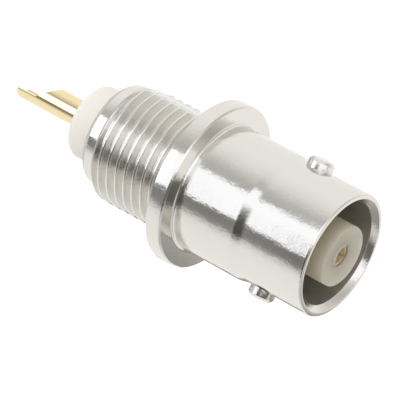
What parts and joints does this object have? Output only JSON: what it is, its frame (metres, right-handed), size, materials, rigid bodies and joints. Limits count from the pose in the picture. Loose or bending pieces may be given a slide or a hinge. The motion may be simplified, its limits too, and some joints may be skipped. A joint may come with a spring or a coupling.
{
  "type": "bnc panel jack",
  "caption": "Coaxial panel jack with bayonet lugs, a round flange, a rear panel thread with a flat, and a gold socket contact that ends in a solder cup.",
  "frame": {"origin": "centre of the flange's rear face, where the panel seats", "axes": "+X along the mating axis towards the mouth, +Z towards the flat on the thread and one bayonet lug"},
  "size_m": [0.03, 0.013, 0.013],
  "materials": {
    "nickel_plate": "bright nickel plate on turned brass, faint turning marks",
    "front_plastic": "natural fluoropolymer, smooth and slightly waxy",
    "rear_plastic": "off-white moulded plastic, smooth",
    "gold_plate": "thin gold plate, polished"
  },
  "bodies": {
    "root": {"shell": "nickel_plate", "front_insulator": "front_plastic", "rear_insulator": "rear_plastic", "center_contact": "gold_plate"}
  },
  "joints": []
}
